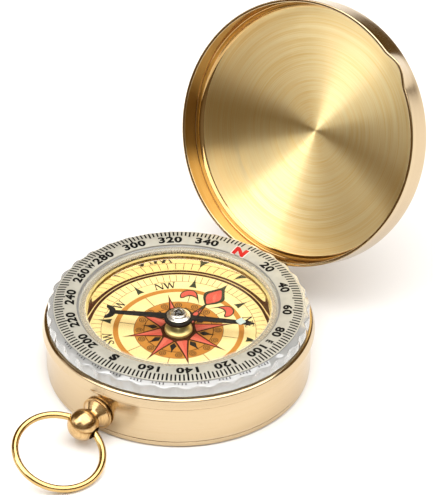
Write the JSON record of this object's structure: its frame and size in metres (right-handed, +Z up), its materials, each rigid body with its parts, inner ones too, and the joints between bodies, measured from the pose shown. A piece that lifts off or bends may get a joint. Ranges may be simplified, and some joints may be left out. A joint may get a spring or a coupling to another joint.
{
  "type": "survival compass",
  "caption": "Round brass pocket compass with a hinged domed lid, turning scalloped degree bezel, pivoted needle under a domed crystal, and a swinging carrying ring on a ball crown.",
  "frame": {"origin": "centre of the flat underside of the case", "axes": "+Z up through the dial, +Y towards the lid's hinge, -Y towards the crown and carrying ring"},
  "size_m": [0.05, 0.0969, 0.0545],
  "materials": {
    "case_brass": "polished light brass",
    "polished_brass": "mirror polished brass",
    "brushed_brass": "circularly brushed inside, polished outside",
    "moulded_plastic": "matt, off-white",
    "dial_paper": "cream lacquered print with orange and red compass rose",
    "seal_rubber": "matt dark grey",
    "crystal_glass": "clear, polished, domed",
    "spring_steel": "blank spring steel",
    "pin_steel": "ground steel",
    "clear_plastic": "clear moulded plastic with scalloped grip",
    "scale_print": "silver-grey lacquer with black degree scale",
    "black_enamel": "semi-gloss black",
    "lume_paint": "pale green-white luminous paint",
    "needle_silver": "bright turned nickel",
    "jewel_glass": "clear bead"
  },
  "bodies": {
    "case": {"case_shell": "case_brass", "base_plate": "case_brass", "capsule_housing": "case_brass", "spacer_ring": "moulded_plastic", "dial_plate": "dial_paper", "reflector_ring": "polished_brass", "crystal_gasket": "seal_rubber", "crystal": "crystal_glass", "retaining_ring": "polished_brass", "wave_spring": "spring_steel", "pivot_boss": "polished_brass", "pivot_pin": "pin_steel", "case_hinge_leaf": "case_brass", "hinge_pin": "pin_steel", "crown": "polished_brass", "crown_nut": "case_brass"},
    "lid": {"lid_shell": "brushed_brass", "lid_hinge_leaf": "case_brass"},
    "bezel": {"bezel_ring": "clear_plastic", "bezel_scale": "scale_print"},
    "needle": {"needle_blade": "black_enamel", "needle_lume": "lume_paint", "needle_cap": "needle_silver", "needle_jewel": "jewel_glass"},
    "bow": {"bow_ring": "polished_brass"}
  },
  "joints": [
    {"name": "lid_hinge", "type": "hinge", "parent": "case", "child": "lid", "pos_m": [0, 0.0249, 0.0098], "axis": [1, 0, 0], "range_deg": [0, 114.7]},
    {"name": "bezel_turn", "type": "hinge", "parent": "case", "child": "bezel", "pos_m": [0, 0, 0.0125], "axis": [0, 0, 1], "continuous": true},
    {"name": "needle_swing", "type": "hinge", "parent": "case", "child": "needle", "pos_m": [0, 0, 0.0104], "axis": [0, 0, 1], "continuous": true},
    {"name": "bow_swing", "type": "hinge", "parent": "case", "child": "bow", "pos_m": [0, -0.02875, 0.0045], "axis": [-0.9466, 0, 0.3223], "range_deg": [-118, 108]}
  ]
}
